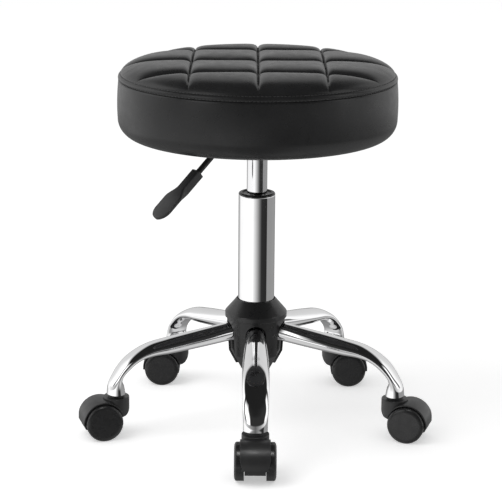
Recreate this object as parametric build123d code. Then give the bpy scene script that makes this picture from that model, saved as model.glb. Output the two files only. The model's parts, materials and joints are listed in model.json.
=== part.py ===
from build123d import *
import os
from math import asin, cos, degrees, radians, sin, tan

os.makedirs("parts", exist_ok=True)

# An adjustable swivel stool: a quilted round seat on a gas lift, a five-leg chrome base and hooded casters.
# Millimetres and degrees. The floor is z = 0, the column's axis is +Z, and the front of the stool faces -Y.

# Fits
running_gap = 0.05        # radial, between a turning or sliding pair
seated_gap = 0.03         # radial, between pieces pressed or welded together
resting_gap = 0.3         # axial, between two bodies that bear on each other

# Casters
wheel_radius = 25.0
wheel_width = 12.8        # inner face to outer face
wheel_shoulder = 6.5      # the outer face rolls over to the tread: this far inwards
wheel_shoulder_drop = 3.2 # and this far back
wheel_rim = 4.0           # thickness of the tread ring
wheel_hub_radius = 7.5
wheel_web = 3.0
wheel_bore_depth = 9.5
half_track = 14.4         # wheel's inner face from the middle of the caster
caster_trail = 21.0       # axle behind the stem
wheel_gap = 0.8           # hood and web clear of the wheel
hood_wall = 2.2
hood_half_width = 19.7
hood_corner = 3.0
hood_tip_drop = 3.0       # the hood's tip below the axle, on its inner radius
web_bottom_drop = 10.0    # the web between the wheels ends this far below the axle
barrel_radius = 18.0
barrel_rise = 2.0         # the barrel's flat top above the hood's arch
barrel_edge = 0.8
barrel_toe = 7.0          # the barrel's foot in front of the stem's axis
barrel_toe_rise = 5.0     # and above the axle
barrel_shoulder = 19.0    # the barrel's straight back ends this far above the axle
boss_radius = 11.0        # round the stem, on the barrel's top
boss_height = 3.5
axle_radius = 3.0
axle_end_gap = 0.5
stem_radius = 5.5
stem_depth = 20.0         # in the hood
stem_reach = 14.0         # in the leg
stem_collar_radius = 8.0
stem_collar_height = 0.7

# Legs
leg_count = 5
first_leg_azimuth = -90.0
stem_circle_radius = 200.0
leg_tube_diameter = 25.4
leg_wall = 1.8
leg_slope = 8.0           # fall of the straight run
leg_bend_radius = 68.0
leg_bend_end_angle = 63.0
leg_bend_inset = 2.0      # the bend ends this far inside the stem's axis
leg_flat_width = 36.0     # where the tube is pressed flat for the bend
leg_flat_depth = 13.6
leg_cup_width = 32.0
leg_cup_depth = 25.2
leg_cup_height = 21.5
leg_cup_lean = 84.0       # slope of the leg's axis at the cup's waist
leg_cup_swell = 0.7       # share of the cup's depth at its waist
leg_bend_narrowing = 0.7  # share of the narrowing to the cup that the bend does
leg_run_stations = ((0.0, 0.0, 0.0), (0.2, 0.0, 0.0), (0.4, 0.5, 0.05), (0.62, 0.8, 0.14), (0.84, 0.97, 0.3))
leg_bend_stations = ((0.12, 0.68), (0.3, 0.9), (0.65, 1.0), (1.0, 1.0))
caster_trail_azimuths = (-90.0, -18.0, 0.0, 180.0, 198.0)

# Hub
hub_tube_radius = 29.0
hub_tube_above = 15.0     # above and below the legs' axis
hub_tube_below = 40.0
bell_top_radius = 40.5
bell_low_radius = 37.4
bell_bottom_radius = 28.0
bell_height = 72.5
bell_chamfer_height = 20.0
bell_wall = 3.0
bell_flange = 4.5
bell_slot_gap = 1.3       # beside and above each leg
bell_lap_gap = 0.3        # inside the collar's band
collar_radius = 42.7
collar_band_height = 7.0
collar_cone_height = 18.5
collar_lap = 1.0
collar_wall = 3.0
collar_bore_gap = 1.0
collar_lip = 1.0

# Column and gas lift
column_radius = 25.0
column_wall = 3.0
column_height = 239.7
column_floor = 3.0
column_sink = 4.0         # column's foot above the bell's foot
column_taper = 0.6
bush_length = 80.0
bush_rim_height = 3.0
bush_rim_edge = 2.0
bush_recess_radius = 20.0
bush_recess_depth = 1.5
cylinder_radius = 14.0
cylinder_wall = 1.5
cylinder_taper = 3.5
cylinder_head = 22.0
gland_height = 15.0
piston_height = 14.0
piston_rivet = 3.0
rod_radius = 5.0
race_radius = 12.0
race_thickness = 2.5
ball_radius = 2.0
ball_count = 10
ball_circle_radius = 9.0
ball_groove_depth = 0.8
ball_gap = 0.1
buffer_radius = 11.0
buffer_height = 8.0
clip_radius = 8.0
clip_thickness = 1.7
clip_groove = 0.8
clip_mouth = 6.8
rod_tail = 1.0
travel_down = 42.0
travel_up = 85.0
travel_end_gap = 2.0

# Seat mechanism
socket_clear = 6.3        # above the bush when the seat is right down
socket_radius = 19.0
socket_height = 13.0
cylinder_grip = 11.0      # length of the cylinder's taper in the socket
plate_drop = 6.5          # plate's web above the socket's foot
plate_thickness = 2.5
plate_depth = 25.5
plate_web_radius = 47.0
plate_hat_radius = 52.0
plate_flange_radius = 70.0
bolt_circle_radius = 62.0
bolt_radius = 3.0
bolt_head_radius = 5.5
bolt_head_height = 4.0
bolt_count = 4
bolt_bite = 13.0          # into the board
tee_flange_radius = 9.0
tee_flange_height = 1.6
tee_barrel_radius = 3.95
tee_barrel_length = 9.0
button_radius = 4.0
button_length = 15.0
button_rise = 4.7         # above the cylinder's end
button_dome_radius = 10.0
button_stroke = 4.5

# Lever
lever_azimuth = 219.0
lever_rod_radius = 4.0
lever_pivot_reach = 34.0
lever_inner_reach = 5.0   # past the column's axis
lever_bend_reach = 66.0
lever_bend_radius = 12.0
lever_bend_angle = 39.5
lever_free_run = 44.8     # from the bend to the paddle
lever_pin_radius = 2.0
ear_gap = 1.0
ear_thickness = 2.5
ear_width = 11.0
ear_over_pin = 5.0
lever_slot_side = 3.0
lever_slot_height = 16.0
paddle_length = 86.0
paddle_socket_length = 30.0
paddle_socket_width = 14.5
paddle_socket_thickness = 13.0
paddle_flare_end = 51.0
paddle_flare_stations = ((0.3, 0.16), (0.7, 0.84))
paddle_blade_width = 32.0
paddle_blade_thickness = 5.0
paddle_edge_round = 2.3
paddle_bore_depth = 25.0

# Seat
seat_radius = 188.0       # widest part of the side
seat_foot_draw = 3.0      # the side is drawn in this far where it would meet the underside
seat_rim_draw = 3.0       # and this far where it meets the top
seat_rim_height = 83.5    # above the underside
seat_seam_drop = 4.0      # seam between the top and the side band, below the rim
seat_belly_height = 42.0
seat_foot_round = 25.0
seat_crown = 23.0         # top of the crown above the rim
seat_roll = 80.0          # the flat crown rolls down to the rim over this much
board_inset = 28.0        # the board's edge inside the seat's
board_thickness = 14.0
cover_thickness = 1.5
dust_cover_inset = 10.0   # the dust cover's edge inside the board's
dust_cover_thickness = 1.0
quilt_thickness = 12.5
quilt_pitch = 86.0
quilt_seams = (-1, 0, 1)
quilt_depth = 10.0        # of a sewn channel, at the middle of the seat
quilt_fall = 3.0          # of a channel's bottom, from the middle to the rim
quilt_swell = 2.3         # depth of the channel half way up to the middle of a pillow
quilt_clear = 1.3         # the channels' form above the crown, at the middle of a pillow
foam_gap = 0.1

# Heights, stacked from the floor
axle_z = wheel_radius
hood_inner_radius = wheel_radius + wheel_gap
hood_radius = hood_inner_radius + hood_wall
barrel_top = axle_z + hood_radius + barrel_rise
boss_top = barrel_top + boss_height
cup_mouth = boss_top + stem_collar_height + resting_gap
bend_end = (stem_circle_radius - leg_bend_inset, cup_mouth + leg_cup_height)
bend_run = leg_bend_radius * (sin(radians(leg_bend_end_angle)) - sin(radians(leg_slope)))
bend_fall = leg_bend_radius * (cos(radians(leg_slope)) - cos(radians(leg_bend_end_angle)))
bend_start = (bend_end[0] - bend_run, bend_end[1] + bend_fall)


def leg_axis_height(radius):
    return bend_start[1] + (bend_start[0] - radius) * tan(radians(leg_slope))


hub_axis_z = leg_axis_height(hub_tube_radius)
hub_tube_top = hub_axis_z + hub_tube_above
hub_tube_bottom = hub_axis_z - hub_tube_below
bell_top = hub_tube_top + bell_flange
bell_bottom = bell_top - bell_height
collar_bottom = bell_top - collar_lap
collar_top = collar_bottom + collar_band_height + collar_cone_height
column_bottom = bell_bottom + column_sink
column_top = column_bottom + column_height
column_inner_radius = column_radius - column_wall
bush_top = column_top + bush_rim_height
race_bottom = column_bottom + column_floor
ball_z = race_bottom + race_thickness + ball_radius - ball_groove_depth
upper_race_bottom = ball_z + ball_radius - ball_groove_depth
buffer_bottom = upper_race_bottom + race_thickness
buffer_top = buffer_bottom + buffer_height
clip_top = column_bottom - resting_gap
rod_bottom = clip_top - clip_thickness - rod_tail
cylinder_bottom = buffer_top + travel_down + travel_end_gap
cylinder_bore = cylinder_radius - cylinder_wall
gland_top = cylinder_bottom + gland_height
piston_bottom = gland_top + travel_up + travel_end_gap
piston_top = piston_bottom + piston_height
socket_bottom = bush_top + travel_down + socket_clear
cylinder_top = socket_bottom + cylinder_grip
button_top = cylinder_top + button_rise
button_bottom = button_top - button_length
lever_z = button_top + resting_gap + lever_rod_radius
web_bottom = socket_bottom + plate_drop
web_top = web_bottom + plate_thickness
board_bottom = web_bottom + plate_depth
board_top = board_bottom + board_thickness
seat_bottom = board_bottom - cover_thickness
rim_z = seat_bottom + seat_rim_height
seam_z = rim_z - seat_seam_drop
seat_top = rim_z + seat_crown

# Radii that follow the seat's, and the bolts' place beside the lever
seat_foot_radius = seat_radius - seat_foot_draw
seat_rim_radius = seat_radius - seat_rim_draw
crown_flat_radius = seat_rim_radius - seat_roll
board_radius = seat_radius - board_inset
dust_cover_radius = board_radius - dust_cover_inset
bolt_azimuth = lever_azimuth + 180 / bolt_count

upward = (Align.CENTER, Align.CENTER, Align.MIN)


def disc(radius, bottom, top):
    return Pos(0, 0, bottom) * Cylinder(radius, top - bottom, align=upward)


def ring(outer, inner, bottom, top):
    return disc(outer, bottom, top) - disc(inner, bottom, top)


def turned(*points):
    # A solid turned about Z from an outline of (radius, height) points.
    return revolve(Plane.XZ * make_face(Polyline(*points, close=True)), axis=Axis.Z)


def sphere_radius(span, rise):
    # Radius of a sphere whose cap of the given base radius has the given rise.
    return (span ** 2 + rise ** 2) / (2 * rise)


def cross_pin(radius, half_length, x, z):
    # A pin along Y.
    return Pos(x, 0, z) * Rot(X=90) * Cylinder(radius, 2 * half_length)


def leg_azimuth(index):
    return first_leg_azimuth + index * 360 / leg_count


def around(shape, count, first=0.0):
    return [Rot(Z=first + index * 360 / count) * shape for index in range(count)]


# Legs


def leg_stations():
    # Radius, height, slope, half width and half depth of the tube from the hub to the cup's mouth. On the run
    # and on the bend, each station has its share of the way, of the spread and of the pressing flat.
    tube = leg_tube_diameter / 2
    wide = leg_flat_width / 2
    flat = leg_flat_depth / 2
    stations = []
    for share, spread, press in leg_run_stations:
        radius = hub_tube_radius / 2 + share * (bend_start[0] - hub_tube_radius / 2)
        half_width = tube + spread * (wide - tube)
        half_depth = tube + press * (flat - tube)
        stations.append((radius, leg_axis_height(radius), leg_slope, half_width, half_depth))
    for share, press in leg_bend_stations:
        angle = leg_slope + share * (leg_bend_end_angle - leg_slope)
        radius = bend_start[0] + leg_bend_radius * (sin(radians(angle)) - sin(radians(leg_slope)))
        height = bend_start[1] - leg_bend_radius * (cos(radians(leg_slope)) - cos(radians(angle)))
        half_width = wide + (leg_cup_width / 2 - wide) * share ** 2 * leg_bend_narrowing
        stations.append((radius, height, angle, half_width, tube + press * (flat - tube)))
    waist = flat + leg_cup_swell * (leg_cup_depth / 2 - flat)
    waist_z = cup_mouth + leg_cup_height / 2
    stations.append((stem_circle_radius, waist_z, leg_cup_lean, leg_cup_width / 2, waist))
    stations.append((stem_circle_radius, cup_mouth, 90.0, leg_cup_width / 2, leg_cup_depth / 2))
    return stations


def leg_form(inset):
    sections = []
    for radius, height, slope, half_width, half_depth in leg_stations():
        along = (cos(radians(slope)), 0, -sin(radians(slope)))
        plane = Plane(origin=(radius, 0, height), x_dir=(0, 1, 0), z_dir=along)
        sections.append(plane * Ellipse(half_width - inset, half_depth - inset))
    return loft(sections)


def leg():
    return leg_form(0) - leg_form(leg_wall) - disc(hub_tube_radius + seated_gap, hub_tube_bottom, bell_top)


def stem_sleeve():
    # The socket that fills the cup and takes the caster's stem.
    top = cup_mouth + stem_reach + resting_gap
    plug = leg_form(leg_wall + seated_gap) & disc(stem_circle_radius * 2, cup_mouth, top)
    return plug - Pos(stem_circle_radius, 0, 0) * disc(stem_radius + running_gap, cup_mouth, top)


# Hub


def column_radius_at(z):
    return column_radius - max(0.0, bell_top - z) * tan(radians(column_taper))


def hub_tube():
    return turned((hub_tube_radius, hub_tube_bottom), (hub_tube_radius, hub_tube_top),
                  (column_radius_at(hub_tube_top) + seated_gap, hub_tube_top),
                  (column_radius_at(hub_tube_bottom) + seated_gap, hub_tube_bottom))


def hub_bell():
    chamfer_top = bell_bottom + bell_chamfer_height
    bell = turned((bell_bottom_radius, bell_bottom), (bell_low_radius, chamfer_top),
                  (bell_top_radius, bell_top), (column_radius + collar_bore_gap, bell_top),
                  (column_radius + collar_bore_gap, hub_tube_top),
                  (bell_top_radius - bell_wall, hub_tube_top),
                  (bell_low_radius - bell_wall, chamfer_top), (bell_bottom_radius - bell_wall, bell_bottom))
    half_slot = leg_tube_diameter / 2 + bell_slot_gap
    arch_z = leg_axis_height(bell_top_radius) + bell_slot_gap
    opening = Pos(0, (bell_bottom + arch_z) / 2) * Rectangle(2 * half_slot, arch_z - bell_bottom)
    opening += Pos(0, arch_z) * Circle(half_slot)
    slot = extrude(Plane.YZ * opening, bell_top_radius * 2)
    return bell - around(slot, leg_count, first_leg_azimuth)


def hub_collar():
    band_top = collar_bottom + collar_band_height
    bore = column_radius + collar_bore_gap
    lap = bell_top_radius + bell_lap_gap
    return turned((collar_radius, collar_bottom), (collar_radius, band_top),
                  (bore + collar_lip, collar_top), (bore, collar_top), (bore, collar_top - 2 * collar_wall),
                  (bell_top_radius - collar_wall, bell_top + collar_wall),
                  (bell_top_radius - collar_wall, bell_top), (lap, bell_top), (lap, collar_bottom))


# Column and gas lift


def column_tube():
    hole = rod_radius + running_gap
    return turned((column_radius, column_top), (column_radius, bell_top),
                  (column_radius_at(column_bottom), column_bottom), (hole, column_bottom),
                  (hole, race_bottom), (column_inner_radius, race_bottom), (column_inner_radius, column_top))


def guide_bush():
    bore = cylinder_radius + running_gap
    sleeve = column_inner_radius - seated_gap
    recess_z = bush_top - bush_recess_depth
    return turned((column_radius, column_top), (column_radius, bush_top - bush_rim_edge),
                  (column_radius - bush_rim_edge, bush_top), (bush_recess_radius, bush_top),
                  (bush_recess_radius, recess_z), (bore, recess_z), (bore, bush_top - bush_length),
                  (sleeve, bush_top - bush_length), (sleeve, column_top))


def ball_groove():
    return Pos(0, 0, ball_z) * Torus(ball_circle_radius, ball_radius + ball_gap)


def lower_race():
    race = ring(race_radius, rod_radius + 2 * ball_gap, race_bottom, race_bottom + race_thickness)
    return race - ball_groove()


def upper_race():
    race = ring(race_radius, rod_radius + seated_gap, upper_race_bottom, buffer_bottom)
    return race - ball_groove()


def thrust_balls():
    return Compound(around(Pos(ball_circle_radius, 0, ball_z) * Sphere(ball_radius), ball_count))


def rubber_buffer():
    return ring(buffer_radius, rod_radius + seated_gap, buffer_bottom, buffer_top)


def piston_rod():
    groove = ring(rod_radius, rod_radius - clip_groove, clip_top - clip_thickness, clip_top)
    return disc(rod_radius, rod_bottom, piston_top + piston_rivet) - groove


def retaining_clip():
    bore = rod_radius - clip_groove + seated_gap
    clip = ring(clip_radius, bore, clip_top - clip_thickness, clip_top)
    mouth = Box(clip_radius, clip_mouth, clip_thickness, align=upward)
    return clip - Pos(clip_radius / 2, 0, clip_top - clip_thickness) * mouth


def piston():
    return ring(cylinder_bore - running_gap, rod_radius + seated_gap, piston_bottom, piston_top)


def cylinder_end_radius(z):
    return cylinder_radius - (z - socket_bottom) * tan(radians(cylinder_taper))


def gas_cylinder():
    cavity_top = cylinder_top - cylinder_head
    bore = button_radius + running_gap
    bore_floor = button_bottom - button_stroke - resting_gap
    return turned((cylinder_radius, cylinder_bottom), (cylinder_radius, socket_bottom),
                  (cylinder_end_radius(cylinder_top), cylinder_top), (bore, cylinder_top),
                  (bore, bore_floor), (0, bore_floor), (0, cavity_top), (cylinder_bore, cavity_top),
                  (cylinder_bore, cylinder_bottom))


def cylinder_gland():
    return ring(cylinder_bore - seated_gap, rod_radius + running_gap, cylinder_bottom, gland_top)


# Seat mechanism


def taper_socket():
    top = socket_bottom + socket_height
    return turned((socket_radius, socket_bottom), (socket_radius, top),
                  (cylinder_end_radius(top) + seated_gap, top), (cylinder_radius + seated_gap, socket_bottom))


def bolt_holes(radius, bottom, top):
    return around(Pos(bolt_circle_radius, 0, 0) * disc(radius, bottom, top), bolt_count, bolt_azimuth)


def seat_plate():
    flange_bottom = board_bottom - plate_thickness
    eye = socket_radius + seated_gap
    plate = turned((eye, web_bottom), (plate_web_radius, web_bottom), (plate_hat_radius, flange_bottom),
                   (plate_flange_radius, flange_bottom), (plate_flange_radius, board_bottom),
                   (plate_hat_radius - plate_thickness, board_bottom),
                   (plate_web_radius - plate_thickness, web_top), (eye, web_top))
    gap_width = 2 * (lever_rod_radius + lever_slot_side)
    slot = Pos(plate_hat_radius, 0, lever_z) * Box(plate_web_radius / 2, gap_width, lever_slot_height)
    plate -= Rot(Z=lever_azimuth) * slot
    return plate - bolt_holes(bolt_radius + resting_gap, flange_bottom, board_bottom)


def plate_bolts():
    head_top = board_bottom - plate_thickness
    bolt = disc(bolt_head_radius, head_top - bolt_head_height, head_top)
    bolt += disc(bolt_radius, head_top, board_bottom + bolt_bite)
    return Compound(around(Pos(bolt_circle_radius, 0, 0) * bolt, bolt_count, bolt_azimuth))


def tee_nut(slack):
    flange_bottom = board_top - tee_flange_height
    nut = disc(tee_flange_radius + slack, flange_bottom, board_top)
    return nut + disc(tee_barrel_radius + slack, flange_bottom - tee_barrel_length, flange_bottom)


def tee_nuts():
    nut = tee_nut(0) - disc(bolt_radius + seated_gap, board_bottom, board_top)
    return Compound(around(Pos(bolt_circle_radius, 0, 0) * nut, bolt_count, bolt_azimuth))


def pivot_bracket():
    inner = lever_rod_radius + ear_gap
    outer = inner + ear_thickness
    height = lever_z + ear_over_pin - web_top
    bracket = Box(ear_width, 2 * outer, height, align=upward)
    bracket -= Pos(0, 0, ear_thickness) * Box(ear_width, 2 * inner, height, align=upward)
    bracket = Pos(lever_pivot_reach, 0, web_top) * bracket
    bracket -= cross_pin(lever_pin_radius + seated_gap, outer, lever_pivot_reach, lever_z)
    return Rot(Z=lever_azimuth) * bracket


def lever_pivot_pin():
    half_length = lever_rod_radius + ear_gap + ear_thickness
    return Rot(Z=lever_azimuth) * cross_pin(lever_pin_radius, half_length, lever_pivot_reach, lever_z)


def release_button():
    dome = Pos(0, 0, button_top - button_dome_radius) * Sphere(button_dome_radius)
    return disc(button_radius, button_bottom, button_top) & dome


# Lever, laid out along +X and turned to its place


def lever_point(run):
    # A point on the sloping part of the lever's axis, past the bend.
    fall = radians(lever_bend_angle)
    return (lever_bend_reach + run * cos(fall), 0, lever_z - run * sin(fall))


def lever_rod():
    start = (-lever_inner_reach, 0, lever_z)
    corner = (lever_bend_reach, 0, lever_z)
    end = lever_point(lever_free_run + paddle_bore_depth)
    path = FilletPolyline(start, corner, end, radius=lever_bend_radius)
    rod = sweep(Plane(origin=start, z_dir=(1, 0, 0)) * Circle(lever_rod_radius), path=path)
    rod -= cross_pin(lever_pin_radius + running_gap, lever_rod_radius, lever_pivot_reach, lever_z)
    return Rot(Z=lever_azimuth) * rod


def paddle_section(x, spread):
    # Rounded cross-section of the paddle, from the socket (spread 0) to the blade (spread 1), level on top.
    width = paddle_socket_width + spread * (paddle_blade_width - paddle_socket_width)
    thickness = paddle_socket_thickness + spread * (paddle_blade_thickness - paddle_socket_thickness)
    middle = (paddle_socket_thickness - thickness) / 2
    across = Plane(origin=(x, 0, middle), x_dir=(0, 1, 0), z_dir=(1, 0, 0))
    return across * RectangleRounded(width, thickness, paddle_edge_round)


def lever_paddle():
    flare = paddle_flare_end - paddle_socket_length
    body = loft([paddle_section(0, 0), paddle_section(paddle_socket_length, 0)], ruled=True)
    sections = [paddle_section(paddle_socket_length + share * flare, spread)
                for share, spread in ((0, 0), *paddle_flare_stations, (1, 1))]
    body += loft(sections)
    body += loft([paddle_section(paddle_flare_end, 1), paddle_section(paddle_length, 1)], ruled=True)
    tip = paddle_length - paddle_blade_width / 2
    plan = Pos(tip / 2, 0) * Rectangle(tip, paddle_blade_width)
    plan += Pos(tip, 0) * Circle(paddle_blade_width / 2)
    body &= extrude(plan, paddle_socket_thickness, both=True)
    body -= Rot(Y=90) * Cylinder(lever_rod_radius + seated_gap, paddle_bore_depth, align=upward)
    fall = radians(lever_bend_angle)
    along = (cos(fall), 0, -sin(fall))
    seat = Plane(origin=lever_point(lever_free_run), x_dir=along, z_dir=(sin(fall), 0, cos(fall)))
    return Rot(Z=lever_azimuth) * (seat * body)


# Seat


def cushion_form(side_inset, top_inset):
    # The plain round cushion: flat underside, barrelled side, and a flat crown that rolls down to the rim.
    bottom = seat_bottom + side_inset
    top = seat_top - top_inset
    foot = (seat_foot_radius - side_inset, bottom)
    belly = (seat_radius - side_inset, seat_bottom + seat_belly_height)
    rim = (seat_rim_radius - side_inset, rim_z)
    outline = Polyline((crown_flat_radius, top), (0, top), (0, bottom), foot)
    outline += ThreePointArc(foot, belly, rim)
    outline += EllipticalCenterArc((crown_flat_radius, rim_z), rim[0] - crown_flat_radius, top - rim_z)
    face = make_face(outline)
    face = fillet(face.vertices().sort_by_distance(foot)[0], seat_foot_round - side_inset)
    return revolve(Plane.XZ * face, axis=Axis.Z)


def quilt_channel(offset):
    # A sewn channel along Y over the crown, between two swelling shoulders that reach the middles of the
    # pillows beside it. It turns about an axis far below, so that its bottom falls towards the rim.
    half_pitch = quilt_pitch / 2
    seam = (offset, seat_top - quilt_depth)
    left = (offset - half_pitch, seat_top + quilt_clear)
    right = (offset + half_pitch, seat_top + quilt_clear)
    section = ThreePointArc(left, (offset - half_pitch / 2, seat_top - quilt_swell), seam)
    section += ThreePointArc(seam, (offset + half_pitch / 2, seat_top - quilt_swell), right)
    lid = seat_top + quilt_clear + quilt_fall
    section += Polyline(right, (right[0], lid), (left[0], lid), left)
    arc_radius = sphere_radius(seat_rim_radius, quilt_fall)
    swing = 2 * degrees(asin(seat_radius / arc_radius))
    spine = Axis((0, 0, seat_top - quilt_depth - arc_radius), (1, 0, 0))
    start = (Plane.XZ * make_face(section)).rotate(spine, -swing / 2)
    return revolve(start, axis=spine, revolution_arc=swing)


def seat_top_panel():
    panel = cushion_form(0, 0) & disc(seat_radius * 2, seam_z, seat_top)
    panel -= cushion_form(cover_thickness, quilt_thickness)
    for seam in quilt_seams:
        channel = quilt_channel(seam * quilt_pitch)
        panel = panel - channel - Rot(Z=90) * channel
    return panel


def seat_side_band():
    band = cushion_form(0, 0) & disc(seat_radius * 2, seat_bottom, seam_z)
    band -= cushion_form(cover_thickness, quilt_thickness)
    return band - disc(dust_cover_radius + resting_gap, seat_bottom, board_bottom)


def seat_foam():
    foam = cushion_form(cover_thickness + foam_gap, quilt_thickness + foam_gap)
    return foam - disc(board_radius + foam_gap, seat_bottom, board_top + foam_gap)


def seat_board():
    board = disc(board_radius, board_bottom, board_top)
    board -= around(Pos(bolt_circle_radius, 0, 0) * tee_nut(seated_gap), bolt_count, bolt_azimuth)
    return board - bolt_holes(bolt_radius + resting_gap, board_bottom, board_top)


def dust_cover():
    inner = plate_flange_radius + resting_gap
    return ring(dust_cover_radius, inner, board_bottom - dust_cover_thickness, board_bottom)


# Casters, laid out with the stem on Z and the axle trailing towards +X


def round_plan(bottom, top):
    # Plan of the hood: a half round at the stem and straight sides, the rear corners rounded.
    middle = hood_half_width - barrel_radius
    end = caster_trail + hood_radius
    plan = Pos((middle + end) / 2, 0) * Rectangle(end - middle, 2 * hood_half_width)
    plan = fillet(plan.vertices().group_by(Axis.X)[-1], hood_corner)
    plan += Pos(middle, 0) * Circle(hood_half_width)
    return extrude(Pos(0, 0, bottom) * plan, top - bottom)


def hood_side():
    # Side view of the hood's arch over the wheels and of the web between them.
    toe_z = axle_z + barrel_toe_rise
    far = 2 * hood_radius
    tip = (caster_trail + hood_inner_radius, axle_z - hood_tip_drop)
    past = caster_trail + far
    below = Polyline((caster_trail, axle_z), tip, (past, axle_z + hood_tip_drop), (past, -far), (-far, -far),
                     (-far, toe_z), (-barrel_toe, toe_z), close=True)
    arch = Pos(caster_trail, axle_z) * Circle(hood_radius) - make_face(below)
    web = Pos(caster_trail, axle_z) * Circle(hood_inner_radius)
    web_bottom_z = axle_z - web_bottom_drop
    web -= Pos(caster_trail, web_bottom_z - hood_radius) * Rectangle(2 * far, far)
    return arch + web


def barrel():
    # The round post about the stem, with a boss on its flat top. Its back is straight and bows in below.
    post = turned((0, axle_z), (barrel_radius, axle_z), (barrel_radius, barrel_top - barrel_edge),
                  (barrel_radius - barrel_edge, barrel_top), (boss_radius, barrel_top),
                  (boss_radius, boss_top), (0, boss_top))
    back = (-barrel_radius, axle_z + barrel_shoulder)
    toe = (-barrel_toe, axle_z + barrel_toe_rise)
    side = Polyline(toe, (caster_trail, axle_z), (caster_trail, boss_top), (-barrel_radius, boss_top), back)
    side += EllipticalCenterArc((-barrel_toe, back[1]), barrel_radius - barrel_toe, back[1] - toe[1], 180)
    return post & extrude(Plane.XZ * make_face(side), hood_half_width, both=True)


def caster_hood():
    body = extrude(Plane.XZ * hood_side(), hood_half_width, both=True) & round_plan(0, barrel_top)
    body += barrel()
    pocket_width = hood_half_width - half_track + wheel_gap
    pocket = Rot(X=90) * Cylinder(hood_inner_radius, pocket_width)
    for side in (-1, 1):
        body -= Pos(caster_trail, side * (half_track - wheel_gap + pocket_width / 2), axle_z) * pocket
    body -= disc(stem_radius + seated_gap, barrel_top - stem_depth, boss_top)
    return body - cross_pin(axle_radius + seated_gap, hood_half_width, caster_trail, axle_z)


def caster_stem():
    stem = disc(stem_radius, barrel_top - stem_depth, cup_mouth + stem_reach)
    return stem + disc(stem_collar_radius, boss_top, boss_top + stem_collar_height)


def caster_axle():
    return cross_pin(axle_radius, half_track + wheel_bore_depth - axle_end_gap, caster_trail, axle_z)


def caster_wheel(side):
    # Turned about its own axle, then laid along Y on the given side.
    bore = axle_radius + running_gap
    tread = wheel_width - wheel_shoulder_drop
    flat_radius = wheel_radius - wheel_shoulder
    outline = Polyline((flat_radius, wheel_width), (0, wheel_width), (0, wheel_bore_depth),
                       (bore, wheel_bore_depth), (bore, 0), (wheel_hub_radius, 0),
                       (wheel_hub_radius, tread - wheel_web), (wheel_radius - wheel_rim, tread - wheel_web),
                       (wheel_radius - wheel_rim, 0), (wheel_radius, 0), (wheel_radius, tread))
    outline += EllipticalCenterArc((flat_radius, tread), wheel_shoulder, wheel_shoulder_drop)
    wheel = revolve(Plane.XZ * make_face(outline), axis=Axis.Z)
    return Pos(caster_trail, side * half_track, axle_z) * Rot(X=-90 * side) * wheel


def place_caster(shape, index):
    azimuth = radians(leg_azimuth(index))
    stem = Pos(stem_circle_radius * cos(azimuth), stem_circle_radius * sin(azimuth), 0)
    return stem * Rot(Z=caster_trail_azimuths[index]) * shape


# Every piece, by the name of its file

pieces = {
    "hub_tube": hub_tube(),
    "hub_bell": hub_bell(),
    "hub_collar": hub_collar(),
    "column_tube": column_tube(),
    "guide_bush": guide_bush(),
    "lower_race": lower_race(),
    "thrust_balls": thrust_balls(),
    "upper_race": upper_race(),
    "rubber_buffer": rubber_buffer(),
    "piston_rod": piston_rod(),
    "piston": piston(),
    "retaining_clip": retaining_clip(),
    "gas_cylinder": gas_cylinder(),
    "cylinder_gland": cylinder_gland(),
    "taper_socket": taper_socket(),
    "seat_plate": seat_plate(),
    "plate_bolts": plate_bolts(),
    "tee_nuts": tee_nuts(),
    "pivot_bracket": pivot_bracket(),
    "lever_pivot_pin": lever_pivot_pin(),
    "release_button": release_button(),
    "lever_rod": lever_rod(),
    "lever_paddle": lever_paddle(),
    "seat_board": seat_board(),
    "seat_foam": seat_foam(),
    "seat_top_panel": seat_top_panel(),
    "seat_side_band": seat_side_band(),
    "dust_cover": dust_cover(),
    "stem_sleeves": Compound(around(stem_sleeve(), leg_count, first_leg_azimuth)),
}

one_leg = leg()
one_hood = caster_hood()
for index in range(leg_count):
    number = index + 1
    pieces[f"leg_{number}"] = Rot(Z=leg_azimuth(index)) * one_leg
    pieces[f"caster_{number}_hood"] = place_caster(one_hood, index)
    pieces[f"caster_{number}_stem"] = place_caster(caster_stem(), index)
    pieces[f"caster_{number}_axle"] = place_caster(caster_axle(), index)
    pieces[f"caster_{number}_wheel_left"] = place_caster(caster_wheel(1), index)
    pieces[f"caster_{number}_wheel_right"] = place_caster(caster_wheel(-1), index)

for name, shape in pieces.items():
    export_step(shape, f"parts/{name}.step")
print(len(pieces), "pieces")
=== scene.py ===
import json

import bmesh
import bpy
import numpy as np
from mathutils import Matrix, Vector
from mathutils.geometry import delaunay_2d_cdt

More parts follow.
